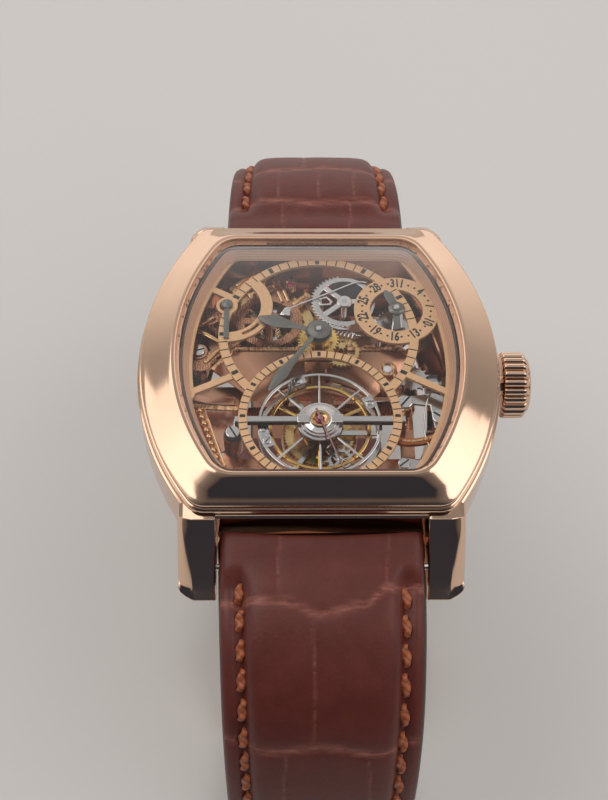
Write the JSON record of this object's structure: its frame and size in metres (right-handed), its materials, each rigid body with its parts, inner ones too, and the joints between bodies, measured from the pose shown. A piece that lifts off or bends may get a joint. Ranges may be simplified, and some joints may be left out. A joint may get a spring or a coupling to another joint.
{
  "type": "skeleton wristwatch",
  "caption": "Barrel-shaped skeleton wristwatch with an open-worked dial, tourbillon, date and power-reserve hands, on a padded leather strap closed by a pin buckle.",
  "frame": {"origin": "centre of the flat outer face of the caseback glass", "axes": "+Z out of the dial, +Y towards twelve o'clock, +X towards the crown"},
  "size_m": [0.0412, 0.0832, 0.0523],
  "materials": {
    "rose_gold": "polished",
    "clear_glass": "polished",
    "gasket": "matt",
    "steel": "polished",
    "dial_gold": "satin",
    "hand_grey": "satin",
    "brass": "fine brushed",
    "bridge_gold": "engraved and polished",
    "ruby": "polished",
    "leather": "scaled leather, satin"
  },
  "bodies": {
    "watch": {"case_middle": "rose_gold", "bezel": "rose_gold", "flange_ring": "rose_gold", "crystal_gasket": "gasket", "crystal": "clear_glass", "caseback_frame": "rose_gold", "caseback_glass": "clear_glass", "caseback_screw_1": "steel", "caseback_screw_2": "steel", "caseback_screw_3": "steel", "caseback_screw_4": "steel", "crown_tube": "steel", "dial": "dial_gold", "jumper_spring": "steel", "main_plate": "bridge_gold", "movement_ring": "rose_gold", "train_bridge": "bridge_gold", "carriage_back_bridge": "bridge_gold", "barrel_bridge": "bridge_gold", "fixed_wheel": "brass", "tourbillon_bridge": "steel", "bridge_chaton": "rose_gold", "bridge_jewel": "ruby", "spring_bar_upper": "steel", "spring_bar_lower": "steel", "strap_upper": "leather", "strap_lower": "leather", "fixed_keeper": "leather", "buckle_frame": "rose_gold", "buckle_bar": "steel"},
    "setting_lever": {"setting_lever": "steel"},
    "crown": {"crown": "rose_gold", "winding_stem": "steel"},
    "crown_wheel": {"crown_wheel": "steel"},
    "ratchet": {"ratchet_wheel": "steel", "barrel_arbor": "steel"},
    "barrel": {"barrel_drum": "brass", "mainspring": "steel"},
    "centre_wheel": {"centre_wheel": "brass"},
    "third_wheel": {"third_wheel": "brass"},
    "minute_hand": {"minute_hand": "hand_grey"},
    "hour_hand": {"hour_hand": "hand_grey", "hour_wheel": "brass"},
    "minute_wheel": {"minute_wheel": "brass"},
    "date_hand": {"date_hand": "hand_grey", "date_star": "steel"},
    "calendar_wheel": {"calendar_wheel": "steel"},
    "calendar_rack": {"calendar_rack": "steel"},
    "reserve_hand": {"power_reserve_hand": "hand_grey"},
    "click": {"click": "steel"},
    "carriage": {"carriage_lower": "steel", "carriage_upper": "steel", "seconds_hand": "rose_gold"},
    "escape_wheel": {"escape_wheel": "steel"},
    "pallet_fork": {"pallet_fork": "steel"},
    "balance": {"balance_wheel": "brass", "hairspring": "steel"},
    "free_keeper": {"free_keeper": "leather"},
    "tang": {"buckle_tang": "rose_gold"}
  },
  "joints": [
    {"name": "crown_pull", "type": "slide", "parent": "watch", "child": "setting_lever", "axis": [1, 0, 0], "range_m": [0, 0.0012]},
    {"name": "crown_turn", "type": "hinge", "parent": "setting_lever", "child": "crown", "pos_m": [0.0206, 0, 0.0047], "axis": [1, 0, 0], "continuous": true},
    {"name": "crown_wheel_turn", "type": "hinge", "parent": "watch", "child": "crown_wheel", "pos_m": [0.0099, 0, 0.00585], "axis": [0, 0, 1], "continuous": true},
    {"name": "ratchet_turn", "type": "hinge", "parent": "watch", "child": "ratchet", "pos_m": [-0.0052, 0.0068, 0.00625], "axis": [0, 0, 1], "continuous": true},
    {"name": "barrel_turn", "type": "hinge", "parent": "watch", "child": "barrel", "pos_m": [-0.0052, 0.0068, 0.005], "axis": [0, 0, 1], "continuous": true},
    {"name": "centre_wheel_turn", "type": "hinge", "parent": "watch", "child": "centre_wheel", "pos_m": [0, 0.0035, 0.0033], "axis": [0, 0, 1], "continuous": true},
    {"name": "third_wheel_turn", "type": "hinge", "parent": "watch", "child": "third_wheel", "pos_m": [0.00056, -0.00187, 0.0028], "axis": [0, 0, 1], "continuous": true},
    {"name": "minute_turn", "type": "hinge", "parent": "watch", "child": "minute_hand", "pos_m": [0, 0.0035, 0.0097], "axis": [0, 0, 1], "continuous": true},
    {"name": "hour_turn", "type": "hinge", "parent": "watch", "child": "hour_hand", "pos_m": [0, 0.0035, 0.0094], "axis": [0, 0, 1], "continuous": true},
    {"name": "minute_wheel_turn", "type": "hinge", "parent": "watch", "child": "minute_wheel", "pos_m": [0.00244, 0.00261, 0.0071], "axis": [0, 0, 1], "continuous": true},
    {"name": "date_turn", "type": "hinge", "parent": "watch", "child": "date_hand", "pos_m": [0.0083, 0.00675, 0.0091], "axis": [0, 0, 1], "continuous": true},
    {"name": "calendar_wheel_turn", "type": "hinge", "parent": "watch", "child": "calendar_wheel", "pos_m": [0.00285, 0.00845, 0.0083], "axis": [0, 0, 1], "continuous": true},
    {"name": "rack_swing", "type": "hinge", "parent": "watch", "child": "calendar_rack", "pos_m": [0.0064, 0.0046, 0.0075], "axis": [0, 0, 1], "range_deg": [0, 3]},
    {"name": "reserve_turn", "type": "hinge", "parent": "watch", "child": "reserve_hand", "pos_m": [-0.00965, 0.00735, 0.0091], "axis": [0, 0, 1], "range_deg": [-8, 95]},
    {"name": "click_swing", "type": "hinge", "parent": "watch", "child": "click", "pos_m": [-0.01005, 0.0031, 0.0062], "axis": [0, 0, 1], "range_deg": [-8, 0]},
    {"name": "carriage_turn", "type": "hinge", "parent": "watch", "child": "carriage", "pos_m": [0, -0.00694, 0.006], "axis": [0, 0, 1], "continuous": true},
    {"name": "escape_turn", "type": "hinge", "parent": "carriage", "child": "escape_wheel", "pos_m": [0.00198, -0.01037, 0.0062], "axis": [0, 0, 1], "continuous": true},
    {"name": "fork_swing", "type": "hinge", "parent": "carriage", "child": "pallet_fork", "pos_m": [0.00093, -0.00854, 0.0064], "axis": [0, 0, 1], "range_deg": [-3, 3]},
    {"name": "balance_swing", "type": "hinge", "parent": "carriage", "child": "balance", "pos_m": [0, -0.00694, 0.0068], "axis": [0, 0, 1], "range_deg": [-270, 270]},
    {"name": "keeper_slide", "type": "slide", "parent": "watch", "child": "free_keeper", "axis": [0, 1, 0], "range_m": [-0.004, 0.002]},
    {"name": "tang_swing", "type": "hinge", "parent": "watch", "child": "tang", "pos_m": [0, -0.009, -0.0356], "axis": [1, 0, 0], "range_deg": [0, 20]}
  ],
  "couplings": [
    {"joint": "crown_wheel_turn", "follows": "crown_turn", "ratio": -0.625},
    {"joint": "ratchet_turn", "follows": "crown_turn", "ratio": -0.33333},
    {"joint": "hour_turn", "follows": "minute_turn", "ratio": 0.083333},
    {"joint": "minute_wheel_turn", "follows": "minute_turn", "ratio": -0.33333},
    {"joint": "third_wheel_turn", "follows": "carriage_turn", "ratio": -0.13333},
    {"joint": "centre_wheel_turn", "follows": "carriage_turn", "ratio": 0.016667},
    {"joint": "barrel_turn", "follows": "carriage_turn", "ratio": -0.0037037},
    {"joint": "escape_turn", "follows": "carriage_turn", "ratio": 10}
  ]
}
